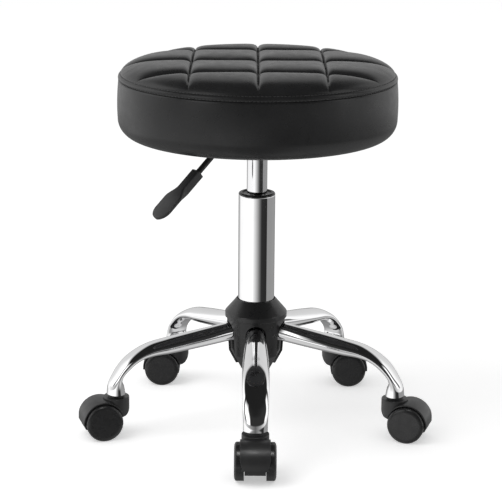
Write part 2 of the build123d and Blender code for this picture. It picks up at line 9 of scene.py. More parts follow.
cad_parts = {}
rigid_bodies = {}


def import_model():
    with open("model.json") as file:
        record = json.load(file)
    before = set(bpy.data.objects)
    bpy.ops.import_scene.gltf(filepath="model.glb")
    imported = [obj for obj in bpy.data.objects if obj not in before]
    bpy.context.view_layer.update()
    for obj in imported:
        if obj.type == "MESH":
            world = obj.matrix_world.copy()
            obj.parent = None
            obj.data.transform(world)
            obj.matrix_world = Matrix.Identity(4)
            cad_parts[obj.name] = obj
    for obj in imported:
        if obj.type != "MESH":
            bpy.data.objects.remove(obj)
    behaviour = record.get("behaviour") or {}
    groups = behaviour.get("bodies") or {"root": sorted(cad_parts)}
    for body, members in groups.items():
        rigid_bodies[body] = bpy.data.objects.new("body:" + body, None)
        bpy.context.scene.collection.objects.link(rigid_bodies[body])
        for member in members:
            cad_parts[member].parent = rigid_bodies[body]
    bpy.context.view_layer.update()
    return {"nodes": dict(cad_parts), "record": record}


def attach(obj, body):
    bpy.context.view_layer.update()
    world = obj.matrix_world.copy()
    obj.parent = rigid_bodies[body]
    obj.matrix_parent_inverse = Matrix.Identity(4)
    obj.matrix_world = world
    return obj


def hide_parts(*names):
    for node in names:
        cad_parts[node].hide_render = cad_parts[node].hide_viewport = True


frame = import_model()
print("frame loaded:", len(frame["nodes"]), "CAD nodes")

# The stool is drawn in millimetres, in the frame's own axes: floor at z = 0, front towards -Y.
mm = 0.001
weld = 1e-6  # points of a piece nearer than this, in metres, become one


# Shape helpers


def rounded(corners, steps=6):
    # A closed outline of (x, y, radius) corners, each corner with a radius turned into an arc.
    corners = np.array(corners, float)
    outline = []
    for before, corner, after in zip(np.roll(corners, 1, 0), corners, np.roll(corners, -1, 0)):
        point, radius = corner[:2], corner[2]
        if radius == 0:
            outline.append(point[None])
            continue
        back = (before[:2] - point) / np.linalg.norm(before[:2] - point)
        on = (after[:2] - point) / np.linalg.norm(after[:2] - point)
        half = np.arccos(np.clip(back @ on, -1, 1)) / 2
        centre = point + (back + on) / np.linalg.norm(back + on) * radius / np.sin(half)
        start = point + back * radius / np.tan(half) - centre
        end = point + on * radius / np.tan(half) - centre
        sweep = np.pi - 2 * half
        share = np.linspace(0, 1, steps + 1)[:, None]
        arc = (np.sin((1 - share) * sweep) * start + np.sin(share * sweep) * end) / np.sin(sweep)
        outline.append(centre + arc)
    return np.concatenate(outline)


def circle(count):
    # Angles evenly round a full turn.
    return np.linspace(0, 2 * np.pi, count, endpoint=False)


def gridFaces(rows, columns, closeRows=False):
    # Quads between neighbouring rows and columns of a grid of points whose columns close up.
    rowCount = rows if closeRows else rows - 1
    down, across = np.meshgrid(np.arange(rowCount), np.arange(columns), indexing="ij")
    here, below = down * columns, (down + 1) % rows * columns
    right = (across + 1) % columns
    corners = [here + across, here + right, below + right, below + across]
    return np.stack(corners, -1).reshape(-1, 4).tolist()


def lathe(outline, segments=128):
    # Each (radius, height) point of a closed outline goes round the Z axis.
    angle = circle(segments)
    radius, height = np.asarray(outline)[:, :1], np.asarray(outline)[:, 1:]
    points = np.stack([radius * np.cos(angle), radius * np.sin(angle), height + 0 * angle], -1)
    return points.reshape(-1, 3), gridFaces(len(outline), segments, closeRows=True)


def tube(rings):
    # A row of closed rings of points, with a flat face on each end.
    rows, columns = rings.shape[:2]
    ends = [list(range(columns)), list(range((rows - 1) * columns, rows * columns))]
    return rings.reshape(-1, 3), gridFaces(rows, columns) + ends


def turnedAbout(points, azimuth, centre=(0, 0, 0)):
    # Points turned about Z by an azimuth in degrees, then moved to a centre.
    c, s = np.cos(np.radians(azimuth)), np.sin(np.radians(azimuth))
    return np.asarray(points) @ np.array([[c, s, 0], [-s, c, 0], [0, 0, 1]]) + np.array(centre)


def smoothLine(knots, values, at):
    # A smooth curve through the values at the knots, by cubic pieces with averaged slopes.
    slope = np.gradient(values, knots)
    i = np.clip(np.searchsorted(knots, at, "right") - 1, 0, len(knots) - 2)
    span = knots[i + 1] - knots[i]
    t = (at - knots[i]) / span
    ends = (2 * t ** 3 - 3 * t ** 2 + 1) * values[i] + (3 * t ** 2 - 2 * t ** 3) * values[i + 1]
    return ends + span * ((t ** 3 - 2 * t ** 2 + t) * slope[i] + (t ** 3 - t ** 2) * slope[i + 1])


def smoothStep(share):
    # A share from 0 to 1 that starts and ends level.
    share = np.clip(share, 0, 1)
    return share * share * (3 - 2 * share)


def meshPoints(mesh):
    points = np.empty(len(mesh.vertices) * 3)
    mesh.vertices.foreach_get("co", points)
    return points.reshape(-1, 3)


def setPoints(mesh, points):
    mesh.vertices.foreach_set("co", points.ravel())
    mesh.update()


def makePiece(name, shells, body, nodes, slot, sharp=35, finish=None):
    # One object from closed shells of points and faces, riding a body in place of its CAD nodes. It has its
    # slot's finish unless it is given another.
    points, faces, count = [], [], 0
    for shellPoints, shellFaces in shells:
        points.append(np.asarray(shellPoints) * mm)
        faces += [[index + count for index in face] for face in shellFaces]
        count += len(shellPoints)
    mesh = bpy.data.meshes.new(name)
    mesh.from_pydata(np.concatenate(points).tolist(), [], faces)
    work = bmesh.new()
    work.from_mesh(mesh)
    bmesh.ops.remove_doubles(work, verts=work.verts, dist=weld)
    bmesh.ops.recalc_face_normals(work, faces=work.faces)
    work.to_mesh(mesh)
    work.free()
    mesh.shade_smooth()
    mesh.set_sharp_from_angle(angle=np.radians(sharp))
    mesh.materials.append(finishes[slot] if finish is None else finish)
    piece = bpy.data.objects.new(name, mesh)
    bpy.context.scene.collection.objects.link(piece)
    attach(piece, body)
    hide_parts(*nodes)
    return piece


# Finishes

noiseRange = (0.3, 0.7)  # the middle values of a noise, over which shade and shine change


def newFinish(name, color, roughness, metallic=0.0):
    finish = bpy.data.materials.new(name)
    finish.use_nodes = True
    shader = finish.node_tree.nodes["Principled BSDF"]
    shader.inputs["Base Color"].default_value = (*color, 1)
    shader.inputs["Roughness"].default_value = roughness
    shader.inputs["Metallic"].default_value = metallic
    return finish, finish.node_tree, shader


def addNode(tree, kind, **sockets):
    node = tree.nodes.new(kind)
    for socket, value in sockets.items():
        node.inputs[socket].default_value = value
    return node


def noise(tree, scale, detail=3.0, stretch=(1, 1, 1)):
    # Noise on Object coordinates, in metres, stretched along the axes.
    where = tree.nodes.new("ShaderNodeTexCoord")
    mapping = addNode(tree, "ShaderNodeMapping", Scale=stretch)
    cloud = addNode(tree, "ShaderNodeTexNoise", Scale=scale, Detail=detail)
    tree.links.new(where.outputs["Object"], mapping.inputs["Vector"])
    tree.links.new(mapping.outputs["Vector"], cloud.inputs["Vector"])
    return cloud.outputs["Fac"]


def ramp(tree, value, stops):
    # A ramp of (position, grey or color) stops.
    node = tree.nodes.new("ShaderNodeValToRGB")
    elements = node.color_ramp.elements
    while len(elements) < len(stops):
        elements.new(0.5)
    for element, (position, color) in zip(elements, stops):
        element.position = position
        element.color = (*color, 1) if isinstance(color, tuple) else (color, color, color, 1)
    tree.links.new(value, node.inputs["Fac"])
    return node.outputs["Color"]


def bump(tree, shader, height, distance, strength, under=None):
    # Relief of a distance in metres, laid over another relief where one is given.
    node = addNode(tree, "ShaderNodeBump", Strength=strength, Distance=distance)
    tree.links.new(height, node.inputs["Height"])
    if under:
        tree.links.new(under, node.inputs["Normal"])
    tree.links.new(node.outputs["Normal"], shader.inputs["Normal"])
    return node.outputs["Normal"]


def mottle(tree, shader, color, roughness, shade, scale, spread, shineScale, stretch=(1, 1, 1)):
    # Slow changes of color down to a share of itself, and of shine about a middle roughness.
    dark = tuple(c * shade for c in color)
    tones = ramp(tree, noise(tree, scale), list(zip(noiseRange, (dark, color))))
    gloss = list(zip(noiseRange, (roughness - spread, roughness + spread)))
    shine = ramp(tree, noise(tree, shineScale, detail=4, stretch=stretch), gloss)
    tree.links.new(tones, shader.inputs["Base Color"])
    tree.links.new(shine, shader.inputs["Roughness"])


def chromeFinish(name, color, roughness):
    # Polished plating whose shine wanders a little from place to place.
    finish, tree, shader = newFinish(name, color, roughness, metallic=1.0)
    mottle(tree, shader, color, roughness, shade=0.96, scale=25, spread=0.02, shineScale=60)
    return finish


def mouldedFinish(name, color, roughness, grain=900, depth=0.00006):
    # Moulded plastic with a fine sparkle of texture and slow changes of shade.
    finish, tree, shader = newFinish(name, color, roughness)
    mottle(tree, shader, color, roughness, shade=0.85, scale=40, spread=0.05, shineScale=120)
    bump(tree, shader, noise(tree, grain, detail=4), distance=depth, strength=0.25)
    return finish


def leatherFinish(name, color, roughness, specular):
    # Leatherette: small cells with soft edges, a finer grain on them, and slow changes of shade and shine.
    finish, tree, shader = newFinish(name, color, roughness)
    shader.inputs["Specular IOR Level"].default_value = specular
    mottle(tree, shader, color, roughness, shade=0.8, scale=30, spread=0.04, shineScale=90)
    where = tree.nodes.new("ShaderNodeTexCoord")
    cells = addNode(tree, "ShaderNodeTexVoronoi", Scale=750.0)
    cells.feature = "SMOOTH_F1"
    tree.links.new(where.outputs["Object"], cells.inputs["Vector"])
    under = bump(tree, shader, cells.outputs["Distance"], distance=0.0001, strength=0.25)
    bump(tree, shader, noise(tree, 2500, detail=2), distance=0.00003, strength=0.25, under=under)
    return finish


def steelFinish(name, color, roughness, metallic):
    # Sheet or bar steel: drawn streaks and a mottled shine.
    finish, tree, shader = newFinish(name, color, roughness, metallic)
    mottle(tree, shader, color, roughness, shade=0.75, scale=80, spread=0.1, shineScale=300,
           stretch=(1, 1, 0.1))
    return finish


def woodFinish(name, pale, dark, roughness, streakRange=(0.35, 0.65)):
    # Plywood: long growth streaks along X.
    finish, tree, shader = newFinish(name, pale, roughness)
    streaks = noise(tree, 60, detail=5, stretch=(0.08, 1, 3))
    tones = ramp(tree, streaks, list(zip(streakRange, (dark, pale))))
    tree.links.new(tones, shader.inputs["Base Color"])
    fibres = noise(tree, 400, detail=4, stretch=(0.05, 1, 1))
    bump(tree, shader, fibres, distance=0.0001, strength=0.4)
    return finish


def fabricFinish(name, color, roughness, sheen):
    # Felted dust cloth: a dense tangle of fibres.
    finish, tree, shader = newFinish(name, color, roughness)
    shader.inputs["Sheen Weight"].default_value = sheen
    mottle(tree, shader, color, roughness, shade=0.5, scale=700, spread=0.05, shineScale=300)
    bump(tree, shader, noise(tree, 1200, detail=4), distance=0.0002, strength=0.6)
    return finish


finishes = {
    "chrome": chromeFinish("chrome", (0.93, 0.93, 0.935), 0.04),
    "bright_steel": chromeFinish("brightSteel", (0.86, 0.86, 0.87), 0.07),
    "plain_steel": steelFinish("plainSteel", (0.45, 0.45, 0.46), 0.4, metallic=1.0),
    "black_steel": steelFinish("blackSteel", (0.022, 0.022, 0.023), 0.4, metallic=0.0),
    "hub_plastic": mouldedFinish("hubPlastic", (0.016, 0.016, 0.0164), 0.3),
    "lever_plastic": mouldedFinish("leverPlastic", (0.032, 0.032, 0.033), 0.42),
    "caster_plastic": mouldedFinish("casterPlastic", (0.028, 0.028, 0.0286), 0.36),
    "wheel_nylon": mouldedFinish("wheelNylon", (0.018, 0.018, 0.0184), 0.28, grain=700),
    "buffer_rubber": mouldedFinish("bufferRubber", (0.03, 0.03, 0.03), 0.75, grain=500),
    "seat_leather": leatherFinish("seatLeather", (0.017, 0.017, 0.0175), 0.3, specular=0.36),
    "seat_foam": mouldedFinish("seatFoam", (0.75, 0.68, 0.45), 0.9, grain=300, depth=0.0004),
    "dust_fabric": fabricFinish("dustFabric", (0.03, 0.03, 0.032), 0.9, sheen=0.3),
    "plywood": woodFinish("plywood", (0.55, 0.38, 0.22), (0.4, 0.25, 0.13), 0.6),
}
threadFinish = mouldedFinish("seamThread", (0.05, 0.05, 0.051), 0.5, grain=3000, depth=0.0001)

for entry in frame["record"]["subparts"]:
    mesh = frame["nodes"][entry["node"]].data
    mesh.materials.clear()
    mesh.materials.append(finishes[entry["material_slot"]])
print("finishes on the CAD nodes")


# Legs

leg = dict(
    count=5, firstAzimuth=-90.0, hub=29.0, tube=25.4, wall=1.8, slope=8.0, stem=200.0, mouth=59.5,
    bendRadius=68.0, bendEnd=63.0, bendInset=2.0, flat=(36.0, 13.6), cup=(32.0, 25.2), cupHeight=21.5,
    cupLean=84.0, mouthLean=90.0, swell=0.7, narrowing=0.7, lip=0.3,
    # Down the straight: shares of the way, of the widening and of the pressing
    straight=[(0.0, 0.0, 0.0), (0.2, 0.0, 0.0), (0.4, 0.5, 0.05), (0.62, 0.8, 0.14), (0.84, 0.97, 0.3)],
    # Round the bend: shares of the way and of the pressing
    bend=[(0.12, 0.68), (0.3, 0.9), (0.65, 1.0), (1.0, 1.0)],
    # Shares of the whole way where the outer and the inner skin begin
    outerStart=0.07, innerStart=0.9, outerRows=110, innerRows=12, columns=64)


def legAzimuth(index):
    return leg["firstAzimuth"] + index * 360 / leg["count"]


def legStations():
    # Radius, height, slope, half width and half depth down the leg: a straight run on which the tube widens,
    # an arc on which it is pressed flat, and the cup.
    slope, end = np.radians(leg["slope"]), np.radians(leg["bendEnd"])
    tubeHalf, wide, flat = leg["tube"] / 2, leg["flat"][0] / 2, leg["flat"][1] / 2
    cupWide, cupDeep = leg["cup"][0] / 2, leg["cup"][1] / 2
    bendX = leg["stem"] - leg["bendInset"] - leg["bendRadius"] * (np.sin(end) - np.sin(slope))
    bendZ = leg["mouth"] + leg["cupHeight"] + leg["bendRadius"] * (np.cos(slope) - np.cos(end))
    share, spread, press = np.array(leg["straight"]).T
    x = leg["hub"] / 2 + share * (bendX - leg["hub"] / 2)
    straight = [x, bendZ + (bendX - x) * np.tan(slope), 0 * x + leg["slope"],
                tubeHalf + spread * (wide - tubeHalf), tubeHalf + press * (flat - tubeHalf)]
    share, press = np.array(leg["bend"]).T
    angle = slope + share * (end - slope)
    arc = [bendX + leg["bendRadius"] * (np.sin(angle) - np.sin(slope)),
           bendZ - leg["bendRadius"] * (np.cos(slope) - np.cos(angle)), np.degrees(angle),
           wide + (cupWide - wide) * share ** 2 * leg["narrowing"], tubeHalf + press * (flat - tubeHalf)]
    waist = [leg["stem"], leg["mouth"] + leg["cupHeight"] / 2, leg["cupLean"], cupWide,
             flat + leg["swell"] * (cupDeep - flat)]
    mouth = [leg["stem"], leg["mouth"], leg["mouthLean"], cupWide, cupDeep]
    return np.concatenate([np.array(straight).T, np.array(arc).T, [waist, mouth]])


def legRings(inset, start, rows):
    # Ellipses carried down the leg's axis, each square to it.
    stations = legStations()
    run = np.concatenate([[0], np.cumsum(np.hypot(*np.diff(stations[:, :2], axis=0).T))])
    at = np.linspace(start * run[-1], run[-1], rows)
    radius, height, slope, wide, deep = (smoothLine(run, column, at)[:, None] for column in stations.T)
    angle = circle(leg["columns"])
    across = (wide - inset) * np.cos(angle)
    up = (deep - inset) * np.sin(angle)
    lean = np.radians(slope)
    return np.stack([radius + up * np.sin(lean), across, height + up * np.cos(lean)], -1)


def legShell():
    # The outer skin down to the mouth, a rounded lip, and the inner skin a little way back up the cup.
    outer = legRings(0, leg["outerStart"], leg["outerRows"])
    middle = legRings(leg["wall"] / 2, leg["innerStart"], leg["innerRows"])
    inner = legRings(leg["wall"], leg["innerStart"], leg["innerRows"])
    lip = middle[-1:] - np.array([0, 0, leg["lip"]])
    return tube(np.concatenate([outer, lip, inner[::-1]]))


legPoints, legFaces = legShell()
for index in range(leg["count"]):
    shell = (turnedAbout(legPoints, legAzimuth(index)), legFaces)
    makePiece(f"legTube{index + 1}", [shell], "base", [f"leg_{index + 1}"], "chrome", sharp=50)
print("legs")


# Column, guide bush and hub collar, all turned

# The guard rings keep the plain tube's shading straight up to its edges.
column = dict(radius=25.0, bore=22.0, foot=24.3, bottom=85.0, floor=88.0, taperTop=153.5, top=324.7,
              hole=5.05, edge=0.6, guard=1.5)
columnOutline = rounded([
    (column["radius"], column["top"], column["edge"]),
    (column["bore"], column["top"], 0),
    (column["bore"], column["floor"], 0),
    (column["hole"], column["floor"], 0),
    (column["hole"], column["bottom"], 0),
    (column["foot"], column["bottom"], column["edge"]),
    (column["radius"], column["taperTop"], 0),
    (column["radius"], column["taperTop"] + column["guard"], 0),
    (column["radius"], column["top"] - column["guard"], 0)])
makePiece("columnTube", [lathe(columnOutline)], "base", ["column_tube"], "chrome")

bush = dict(radius=25.0, sleeve=21.97, bore=14.05, rise=3.0, length=80.0, recess=20.0, sunk=1.5,
            edge=2.4, footEdge=0.2, recessEdge=0.6, recessCorner=0.3, boreEdge=0.4)
bushTop = column["top"] + bush["rise"]
bushRecess = bushTop - bush["sunk"]
bushBottom = bushTop - bush["length"]
bushOutline = rounded([
    (bush["radius"], column["top"], bush["footEdge"]),
    (bush["radius"], bushTop, bush["edge"]),
    (bush["recess"], bushTop, bush["recessEdge"]),
    (bush["recess"], bushRecess, bush["recessCorner"]),
    (bush["bore"], bushRecess, bush["boreEdge"]),
    (bush["bore"], bushBottom, 0),
    (bush["sleeve"], bushBottom, 0),
    (bush["sleeve"], column["top"], 0)])
makePiece("guideBush", [lathe(bushOutline)], "base", ["guide_bush"], "hub_plastic")

collar = dict(radius=42.7, bottom=152.5, band=7.0, height=25.5, bore=26.0, lip=1.0, wall=3.0,
              lap=(40.8, 1.0), footEdge=0.8, bandEdge=2.5, lipEdge=0.5, boreEdge=0.2)
collarTop = collar["bottom"] + collar["height"]
collarInside = collar["lap"][0] - collar["wall"]
collarLap = collar["bottom"] + collar["lap"][1]
collarOutline = rounded([
    (collar["radius"], collar["bottom"], collar["footEdge"]),
    (collar["radius"], collar["bottom"] + collar["band"], collar["bandEdge"]),
    (collar["bore"] + collar["lip"], collarTop, collar["lipEdge"]),
    (collar["bore"], collarTop, collar["boreEdge"]),
    (collar["bore"], collarTop - 2 * collar["wall"], 0),
    (collarInside, collarLap + collar["wall"], 0),
    (collarInside, collarLap, 0),
    (collar["lap"][0], collarLap, 0),
    (collar["lap"][0], collar["bottom"], 0)])
makePiece("hubCollar", [lathe(collarOutline)], "base", ["hub_collar"], "hub_plastic")
print("column and collar")


# Casters

# Each caster points its own way: trails are the azimuths from stem to axle.
caster = dict(trails=(-90.0, -18.0, 0.0, 180.0, 198.0), trail=21.0, axle=25.0, pocket=25.8, arch=28.0,
              halfWidth=19.7, rearCorner=3.0, tipDrop=3.0, toe=(-7.0, 30.0), edge=0.6, edgeSteps=4,
              archRows=72, webHalf=13.6, webDrop=10.0, webColumns=60)
barrel = dict(radius=18.0, top=55.0, edge=1.0, shoulder=44.0, boss=11.0, bossTop=58.5, bossEdge=0.6,
              bossFoot=0.3, columns=96)
wheel = dict(radius=25.0, width=12.8, shoulder=(6.5, 3.2), rim=4.0, hub=7.5, web=3.0, bore=3.05,
             boreDepth=9.5, track=14.4, edge=0.5, shoulderRows=14, columns=96)


def hoodHalfWidth(x):
    # Plan of the hood: a half round at the stem, straight sides, rounded rear corners.
    corner = caster["rearCorner"]
    front = np.clip(caster["halfWidth"] - barrel["radius"] - x, 0, caster["halfWidth"])
    rear = np.clip(x - (caster["trail"] + caster["arch"] - corner), 0, corner)
    return np.sqrt(caster["halfWidth"] ** 2 - front ** 2) - corner + np.sqrt(corner ** 2 - rear ** 2)


def archShell():
    # A flat bar with rounded edges, bent round the axle from the hood's tip over to its toe, as wide as the
    # plan.
    tip = -np.arcsin(caster["tipDrop"] / caster["pocket"])
    toe = np.pi - np.arcsin((caster["toe"][1] - caster["axle"]) / caster["arch"])
    angle = np.linspace(tip, toe, caster["archRows"])[:, None]
    half, edge = caster["halfWidth"], caster["edge"]
    section = [(caster["arch"], half, edge), (caster["arch"], -half, edge),
               (caster["pocket"], -half, edge), (caster["pocket"], half, edge)]
    radius, across = rounded(section, caster["edgeSteps"]).T
    width = hoodHalfWidth(caster["trail"] + caster["arch"] * np.cos(angle))
    across = np.sign(across) * (np.abs(across) - half + width)
    x = caster["trail"] + radius * np.cos(angle)
    z = caster["axle"] + radius * np.sin(angle)
    return tube(np.stack([x, across, z], -1))


def barrelShell():
    # A turned post with a boss on top. Its foot follows the bow of its back, then the top of the wheels'
    # pocket.
    corners = [
        (0, caster["axle"], 0),
        (barrel["radius"], caster["axle"], 0),
        (barrel["radius"], barrel["top"], barrel["edge"]),
        (barrel["boss"], barrel["top"], barrel["bossFoot"]),
        (barrel["boss"], barrel["bossTop"], barrel["bossEdge"]),
        (0, barrel["bossTop"], 0)]
    radius, height = rounded(corners)[:, :, None].transpose(1, 0, 2)
    angle = circle(barrel["columns"])
    x = radius * np.cos(angle)
    toeX, toeZ = caster["toe"]
    into = np.clip((x - toeX) / (barrel["radius"] + toeX), -1, 0)
    bow = barrel["shoulder"] - (barrel["shoulder"] - toeZ) * np.sqrt(1 - into ** 2)
    pocket = caster["axle"] + np.sqrt(np.clip(caster["pocket"] ** 2 - (x - caster["trail"]) ** 2, 0, None))
    z = np.maximum(height, np.maximum(bow, pocket) * (height < barrel["shoulder"]))
    points = np.stack([x, radius * np.sin(angle), z], -1)
    return points.reshape(-1, 3), gridFaces(len(radius), barrel["columns"], closeRows=True)


def webShell():
    # The plate between the wheels: a disc cut flat below, drawn across the caster.
    reach = caster["pocket"] + caster["edge"]
    low = np.arcsin(caster["webDrop"] / reach)
    angle = np.linspace(-low, np.pi + low, caster["webColumns"])
    across = np.array([-1, 1])[:, None] * caster["webHalf"]
    x = caster["trail"] + reach * np.cos(angle)
    z = caster["axle"] + reach * np.sin(angle)
    return tube(np.stack([x + 0 * across, across + 0 * x, z + 0 * across], -1))


def wheelShell(side):
    # Half section about the axle: hub, web, tread ring, and an outer face that rolls over to the tread on a
    # quarter ellipse. It goes round the axle and lies along Y.
    drop, depth = wheel["shoulder"]
    tread, flat = wheel["width"] - depth, wheel["radius"] - drop
    turn = np.linspace(0, np.pi / 2, wheel["shoulderRows"])
    roll = np.stack([flat + drop * np.cos(turn), tread + depth * np.sin(turn), 0 * turn], -1)
    inside, web, edge = wheel["radius"] - wheel["rim"], tread - wheel["web"], wheel["edge"]
    corners = [
        (wheel["bore"], wheel["boreDepth"], 0), (wheel["bore"], 0, 0), (wheel["hub"], 0, edge),
        (wheel["hub"], web, edge), (inside, web, edge), (inside, 0, edge), (wheel["radius"], 0, edge),
        *roll, (0, wheel["width"], 0), (0, wheel["boreDepth"], 0)]
    points, faces = lathe(rounded(corners), wheel["columns"])
    points = np.stack([points[:, 0], side * points[:, 2], points[:, 1]], -1)
    return points + np.array([caster["trail"], side * wheel["track"], caster["axle"]]), faces


for index, trail in enumerate(caster["trails"]):
    number = index + 1
    azimuth = np.radians(legAzimuth(index))
    stem = (leg["stem"] * np.cos(azimuth), leg["stem"] * np.sin(azimuth), 0)
    shells = (archShell(), barrelShell(), webShell())
    hood = [(turnedAbout(points, trail, stem), faces) for points, faces in shells]
    makePiece(f"casterHood{number}", hood, f"caster_{number}", [f"caster_{number}_hood"], "caster_plastic")
    for side, word in ((1, "left"), (-1, "right")):
        points, faces = wheelShell(side)
        makePiece(f"casterWheel{number}{word.title()}", [(turnedAbout(points, trail, stem), faces)],
                  f"wheel_{number}_{word}", [f"caster_{number}_wheel_{word}"], "wheel_nylon")
print("casters")


# Lever

lever = dict(azimuth=219.0, height=396.04, start=-5.0, bend=66.0, bendRadius=12.0, fall=39.5, run=44.8,
             radius=4.0, sunk=20.0, bendRows=14, columns=28)
# The paddle's stations stand close where its form turns and apart where it is straight: rows are the counts
# on its eased end, socket, flare, blade and tip.
paddle = dict(length=86.0, socket=30.0, flare=51.0, socketSize=(14.5, 13.0), bladeSize=(32.0, 5.0),
              edge=2.2, edgeSteps=6, ease=1.0, close=1.0, apart=4.0, rows=(4, 5, 20, 5, 24))


def leverFrame(run):
    # Points in the lever's upright plane past the bend, and the direction that stands square on the lever.
    fall = np.radians(lever["fall"])
    line = np.stack([lever["bend"] + run * np.cos(fall), lever["height"] - run * np.sin(fall)], -1)
    return line, np.array([np.sin(fall), np.cos(fall)])


def rodShell():
    # A round bar along a straight, an arc and a second straight.
    fall = np.radians(lever["fall"])
    tangent = lever["bendRadius"] * np.tan(fall / 2)
    turn = np.linspace(0, fall, lever["bendRows"])
    arc = np.stack([lever["bend"] - tangent + lever["bendRadius"] * np.sin(turn),
                    lever["height"] - lever["bendRadius"] * (1 - np.cos(turn))], -1)
    end = leverFrame(np.array([lever["run"] / 2, lever["run"] + lever["sunk"]]))[0]
    line = np.concatenate([[(lever["start"], lever["height"])], arc, end])
    lean = np.concatenate([[0], turn, [fall, fall]])[:, None]
    angle = circle(lever["columns"])
    up = lever["radius"] * np.sin(angle)
    across = lever["radius"] * np.cos(angle) + 0 * lean
    return tube(np.stack([line[:, :1] + up * np.sin(lean), across, line[:, 1:] + up * np.cos(lean)], -1))


def paddleShell():
    # Rounded oblongs along the paddle, level on top: a thick socket that thins and widens to the blade, whose
    # end is a half round.
    socket, flare, ease = paddle["socket"], paddle["flare"], paddle["ease"]
    close, apart = paddle["close"], paddle["apart"]
    half = paddle["bladeSize"][0] / 2
    tip = paddle["length"] - half
    *counts, tipCount = paddle["rows"]
    stretches = ((0, ease), (apart, socket), (socket + close, flare), (flare + apart, tip - close))
    straight = [np.linspace(*ends, count) for ends, count in zip(stretches, counts)]
    nose = tip + half * np.sin(np.linspace(0, np.pi / 2, tipCount)[:-1])
    at = np.concatenate([*straight, nose])[:, None]
    spread = smoothStep((at - socket) / (flare - socket))
    wide, thick = ((first + spread * (last - first)) / 2
                   for first, last in zip(paddle["socketSize"], paddle["bladeSize"]))
    middle = paddle["socketSize"][1] / 2 - thick
    wide = np.where(at > tip, np.sqrt(half ** 2 - np.clip(at - tip, 0, half) ** 2), wide)
    drawnIn = ease - np.sqrt(ease ** 2 - np.clip(ease - at, 0, ease) ** 2)
    wide, thick = wide - drawnIn, thick - drawnIn
    edge = np.minimum(np.minimum(wide, thick), paddle["edge"])
    steps = paddle["edgeSteps"]
    turn = np.concatenate([np.linspace(0, np.pi / 2, steps) + corner * np.pi / 2 for corner in range(4)])
    sideSign, upSign = np.repeat([1, -1, -1, 1], steps), np.repeat([1, 1, -1, -1], steps)
    across = sideSign * (wide - edge) + edge * np.cos(turn)
    up = middle + upSign * (thick - edge) + edge * np.sin(turn)
    line, square = leverFrame(lever["run"] + at[:, 0])
    return tube(np.stack([line[:, :1] + up * square[0], across, line[:, 1:] + up * square[1]], -1))


for name, (points, faces), node, slot in (
        ("leverRod", rodShell(), "lever_rod", "black_steel"),
        ("leverPaddle", paddleShell(), "lever_paddle", "lever_plastic")):
    makePiece(name, [(turnedAbout(points, lever["azimuth"]), faces)], "lever", [node], slot, sharp=40)
print("lever")


# Seat: the quilted top, the side band with its sewn strip, the stitches and the dust cloth underneath

quilt = dict(
    rim=183.5, rimHeight=490.0, top=511.0, flatness=7.4, roll=1.7, pitch=(88.0, 96.0), depth=9.6,
    swell=(11.0, 5.0), fall=(0.6, 1.0), fade=8.0, groove=1.8, grooveHalf=1.4, grooveFade=12,
    skirt=482.0, hem=181.0, threadHold=0.4, rimHold=0.3,
    # Its mesh: lines between seams, even and gathered shares of their spacing, and rings in from the rim
    lines=31, innerGather=(0.3, 0.7), outerGather=(0.35, 0.65), columns=480, seamRows=5,
    ringInsets=(0, 0.15, 0.5, 1.1, 2.0, 3.2, 4.8, 6.8), ringClear=1.0, merge=0.05, rimSlack=0.07)
band = dict(
    belly=188.0, bellyHeight=448.5, draw=0.0016, top=483.0, foot=406.6, footRound=25.0, hem=150.3,
    turnUp=408.3, wall=3.0, tuck=2.0, lap=0.4, strip=(186.6, 485.0), shoulder=(0.1, 0.8),
    # Corners of the strip off its upper seam, its middle and its lower seam: out, up and rounding
    upperGroove=(-0.4, -0.8, 0.0), upperEdge=(0.6, 0.7, 0.8), puff=(1.3, 0.6, 4.0),
    lowerEdge=(0.0, 0.4, 1.2), lowerGroove=(-1.0, -0.6, 0.2),
    stripSteps=4, sideRows=26, footRows=16, columns=256)
stitch = dict(
    count=236, length=4.0, thick=0.55, sides=6,
    # Places along a stitch, as shares of its length, and its girth and dip there, as shares of its thickness
    along=(-0.5, -0.42, -0.2, 0.2, 0.42, 0.5), girth=(0.35, 0.8, 1, 1, 0.8, 0.35),
    dip=(-0.5, -0.2, 0, 0, -0.2, -0.5),
    # The two rows off their seams: out, up and tilt
    upper=(-0.1, 0.4, 60.0), lower=(-0.7, -0.5, 10.0))
air = dict(pressure=4.0, quality=2, frames=20, cap=1.2)

upperSeam = np.array([quilt["rim"], quilt["rimHeight"], 0])
lowerSeam = np.array([*band["strip"], 0])


def fromSeam(position, pitch):
    # Distance to the nearest of the three seams that run square to this axis.
    return np.minimum(np.abs(position), np.abs(np.abs(position) - pitch))


def fromThread(x, y):
    # Distance in plan to the nearest sewn line of either direction.
    return np.minimum(fromSeam(x, quilt["pitch"][0]), fromSeam(y, quilt["pitch"][1]))


def outShare(x, y):
    # Share of the way from the seat's middle out to the rim.
    return np.minimum(np.hypot(x, y) / quilt["rim"], 1)


def quiltHeight(x, y):
    # A flat crown that rolls down to the rim on a blunt oval, less a valley along each seam. A valley falls
    # on a power of the way from the pillow's middle, and runs out towards the rim. The seams from front to
    # back are shallower.
    out = outShare(x, y)
    dome = (1 - out ** quilt["flatness"]) ** (1 / quilt["roll"])
    crown = quilt["rimHeight"] + (quilt["top"] - quilt["rimHeight"]) * dome
    pillow = 1.0
    for position, pitch, swell, fall in zip((x, y), quilt["pitch"], quilt["swell"], quilt["fall"]):
        near = 1 - np.clip(2 * fromSeam(position, pitch) / pitch, 0, 1)
        pillow = pillow * (1 - fall * near ** swell)
    return crown - quilt["depth"] * (1 - out ** quilt["fade"]) * (1 - pillow)


